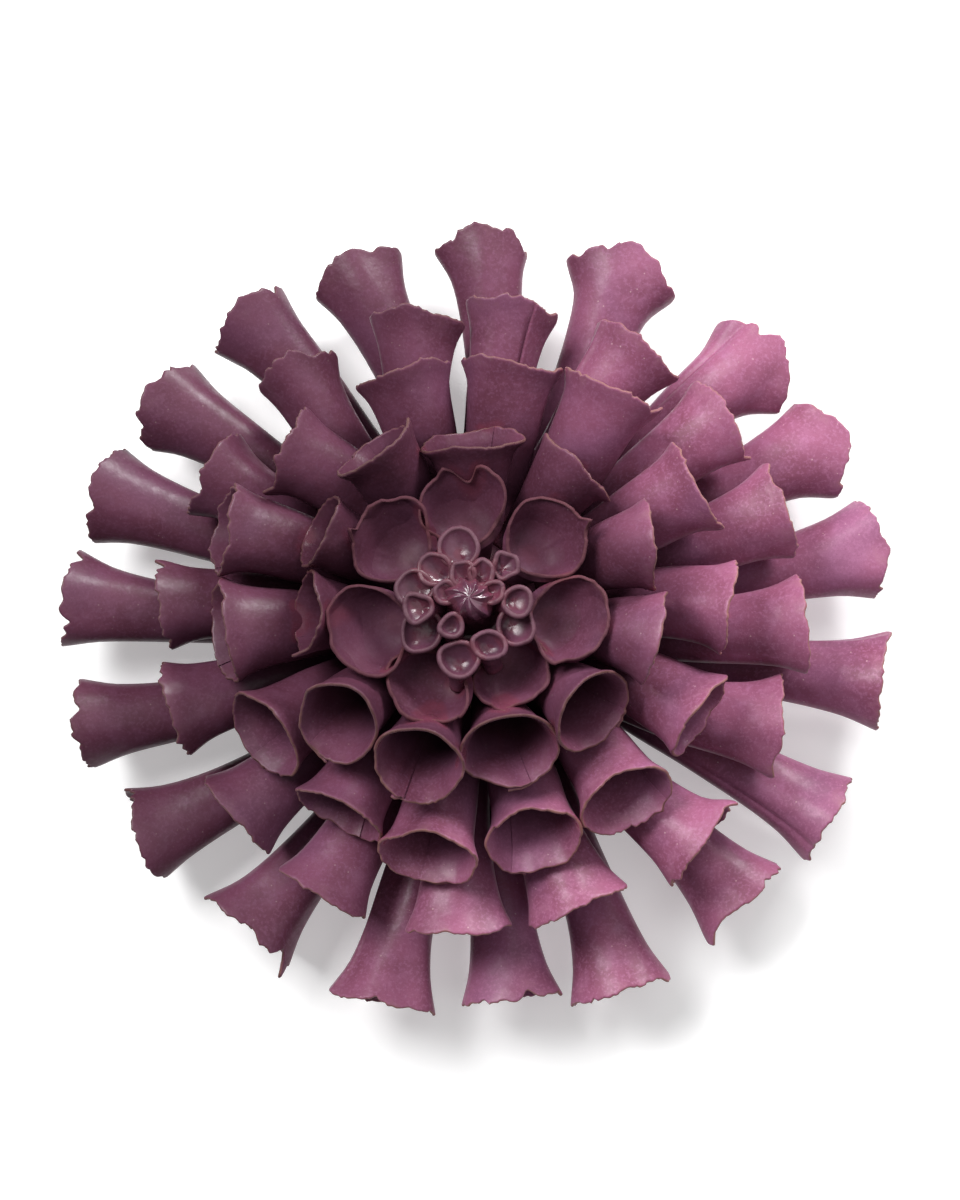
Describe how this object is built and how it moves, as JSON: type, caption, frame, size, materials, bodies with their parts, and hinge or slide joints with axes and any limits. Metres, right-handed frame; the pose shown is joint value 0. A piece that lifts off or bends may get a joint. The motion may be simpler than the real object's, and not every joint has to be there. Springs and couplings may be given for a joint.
{
  "type": "ceramic dahlia wall flower",
  "caption": "Glazed clay dahlia for a wall: rings of rolled trumpet petals on a flat-backed dome with a keyhole recess behind, around a heart of cups and curls.",
  "frame": {"origin": "centre of the dome's flat back, which lies against the wall or the table", "axes": "+Z out of the flower's face, +Y towards its top as it hangs, +X to the right seen from the front"},
  "size_m": [0.2468, 0.2361, 0.0841],
  "materials": {
    "bare_clay": "unglazed, matt",
    "plum_glaze": "satin gloss, finely speckled, breaking to ochre at the rims",
    "heart_glaze": "gloss, pooled pink between the curls"
  },
  "bodies": {
    "root": {"dome": "bare_clay", "outer_petal_01": "plum_glaze", "outer_petal_02": "plum_glaze", "outer_petal_03": "plum_glaze", "outer_petal_04": "plum_glaze", "outer_petal_05": "plum_glaze", "outer_petal_06": "plum_glaze", "outer_petal_07": "plum_glaze", "outer_petal_08": "plum_glaze", "outer_petal_09": "plum_glaze", "outer_petal_10": "plum_glaze", "outer_petal_11": "plum_glaze", "outer_petal_12": "plum_glaze", "outer_petal_13": "plum_glaze", "outer_petal_14": "plum_glaze", "outer_petal_15": "plum_glaze", "outer_petal_16": "plum_glaze", "outer_petal_17": "plum_glaze", "outer_petal_18": "plum_glaze", "outer_petal_19": "plum_glaze", "second_petal_01": "plum_glaze", "second_petal_02": "plum_glaze", "second_petal_03": "plum_glaze", "second_petal_04": "plum_glaze", "second_petal_05": "plum_glaze", "second_petal_06": "plum_glaze", "second_petal_07": "plum_glaze", "second_petal_08": "plum_glaze", "second_petal_09": "plum_glaze", "second_petal_10": "plum_glaze", "second_petal_11": "plum_glaze", "second_petal_12": "plum_glaze", "second_petal_13": "plum_glaze", "second_petal_14": "plum_glaze", "second_petal_15": "plum_glaze", "second_petal_16": "plum_glaze", "third_petal_01": "plum_glaze", "third_petal_02": "plum_glaze", "third_petal_03": "plum_glaze", "third_petal_04": "plum_glaze", "third_petal_05": "plum_glaze", "third_petal_06": "plum_glaze", "third_petal_07": "plum_glaze", "third_petal_08": "plum_glaze", "third_petal_09": "plum_glaze", "third_petal_10": "plum_glaze", "third_petal_11": "plum_glaze", "third_petal_12": "plum_glaze", "third_petal_13": "plum_glaze", "third_petal_14": "plum_glaze", "fourth_ring": "plum_glaze", "cup_petal_01": "plum_glaze", "cup_petal_02": "plum_glaze", "cup_petal_03": "plum_glaze", "cup_petal_04": "plum_glaze", "cup_petal_05": "plum_glaze", "cup_petal_06": "plum_glaze", "cup_petal_07": "plum_glaze", "heart": "heart_glaze"}
  },
  "joints": []
}
